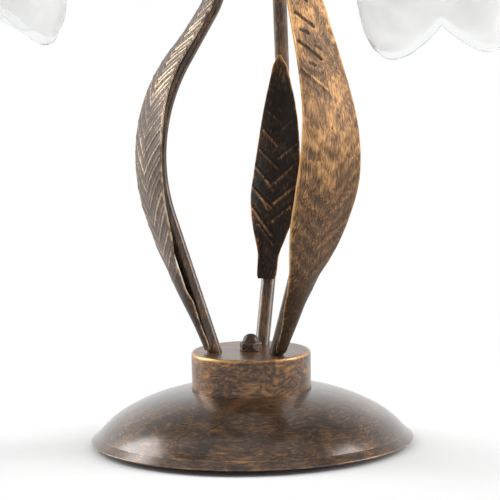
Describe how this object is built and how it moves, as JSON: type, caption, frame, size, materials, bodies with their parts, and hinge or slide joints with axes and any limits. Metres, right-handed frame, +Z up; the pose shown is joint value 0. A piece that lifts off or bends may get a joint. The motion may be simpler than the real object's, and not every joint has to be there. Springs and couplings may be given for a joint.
{
  "type": "table lamp",
  "caption": "Table lamp: frosted tulip glass shades hang from bent bronze tube arms with embossed leaves, rising from a drum on a domed round base.",
  "frame": {"origin": "on the floor, in the middle of the round base", "axes": "+Z up, -Y the front; one arm leaves towards +Y, the other two 120 degrees to each side of it"},
  "size_m": [0.4286, 0.3972, 0.5043],
  "materials": {
    "dish_bronze": "dark bronze lacquer brushed with copper",
    "drum_bronze": "bronze lacquer brushed with copper and gold",
    "arm_bronze": "dark bronze lacquer",
    "leaf_bronze": "bronze lacquer with gold on raised edges",
    "cup_bronze": "bronze lacquer brushed with copper",
    "nut_bronze": "dark bronze, glossy",
    "frosted_glass": "frosted swirls with a clear rim",
    "bulb_glass": "opal",
    "brass_parts": "bare",
    "holder_plastic": "moulded",
    "ring_plastic": "moulded",
    "plated_steel": "zinc plated",
    "ballast_iron": "as cast",
    "pad_foam": "foam",
    "bush_rubber": "matte",
    "lead_insulation": "insulation",
    "terminal_plastic": "moulded"
  },
  "bodies": {
    "stand": {"arm_plate": "plated_steel", "arm_tube_back": "arm_bronze", "arm_tube_left": "arm_bronze", "arm_tube_right": "arm_bronze", "ballast_disc": "ballast_iron", "base_dish": "dish_bronze", "cap_nut": "nut_bronze", "cap_washer": "nut_bronze", "centre_rod": "plated_steel", "cord_inlet_bush": "bush_rubber", "cup_collar_back": "cup_bronze", "cup_collar_left": "cup_bronze", "cup_collar_right": "cup_bronze", "cup_locknut_back": "plated_steel", "cup_locknut_left": "plated_steel", "cup_locknut_right": "plated_steel", "drum_cup": "drum_bronze", "earth_screw": "plated_steel", "foam_pad": "pad_foam", "foot_locknuts_lower": "plated_steel", "foot_locknuts_upper": "plated_steel", "foot_nut": "plated_steel", "foot_spacer": "plated_steel", "foot_washer": "plated_steel", "lampholder_back": "holder_plastic", "lampholder_left": "holder_plastic", "lampholder_right": "holder_plastic", "lead_back": "lead_insulation", "lead_left": "lead_insulation", "lead_right": "lead_insulation", "leaf_back": "leaf_bronze", "leaf_left": "leaf_bronze", "leaf_right": "leaf_bronze", "lower_spacer": "plated_steel", "shade_back": "frosted_glass", "shade_left": "frosted_glass", "shade_right": "frosted_glass", "socket_contact_back": "brass_parts", "socket_contact_left": "brass_parts", "socket_contact_right": "brass_parts", "socket_cup_back": "cup_bronze", "socket_cup_left": "cup_bronze", "socket_cup_right": "cup_bronze", "socket_shell_back": "brass_parts", "socket_shell_left": "brass_parts", "socket_shell_right": "brass_parts", "terminal_block": "terminal_plastic", "terminal_screws": "plated_steel", "upper_spacer": "plated_steel"},
    "bulb_left": {"bulb_cap_left": "brass_parts", "bulb_globe_left": "bulb_glass"},
    "ring_left": {"shade_ring_left": "ring_plastic"},
    "bulb_right": {"bulb_cap_right": "brass_parts", "bulb_globe_right": "bulb_glass"},
    "ring_right": {"shade_ring_right": "ring_plastic"},
    "bulb_back": {"bulb_cap_back": "brass_parts", "bulb_globe_back": "bulb_glass"},
    "ring_back": {"shade_ring_back": "ring_plastic"}
  },
  "joints": [
    {"name": "bulb_left_turn", "type": "hinge", "parent": "stand", "child": "bulb_left", "pos_m": [-0.15082, -0.09477, 0.38427], "axis": [0.0349, -0.0604, 0.9976], "continuous": true},
    {"name": "ring_left_turn", "type": "hinge", "parent": "stand", "child": "ring_left", "pos_m": [-0.1506, -0.09514, 0.39045], "axis": [0.0349, -0.0604, 0.9976], "continuous": true},
    {"name": "bulb_right_turn", "type": "hinge", "parent": "stand", "child": "bulb_right", "pos_m": [0.16157, -0.11048, 0.38463], "axis": [-0.0094, -0.1747, 0.9846], "continuous": true},
    {"name": "ring_right_turn", "type": "hinge", "parent": "stand", "child": "ring_right", "pos_m": [0.16151, -0.11156, 0.39073], "axis": [-0.0094, -0.1747, 0.9846], "continuous": true},
    {"name": "bulb_back_turn", "type": "hinge", "parent": "stand", "child": "bulb_back", "pos_m": [0, 0.183, 0.4005], "axis": [0, 0, 1], "continuous": true},
    {"name": "ring_back_turn", "type": "hinge", "parent": "stand", "child": "ring_back", "pos_m": [0, 0.183, 0.4067], "axis": [0, 0, 1], "continuous": true}
  ]
}
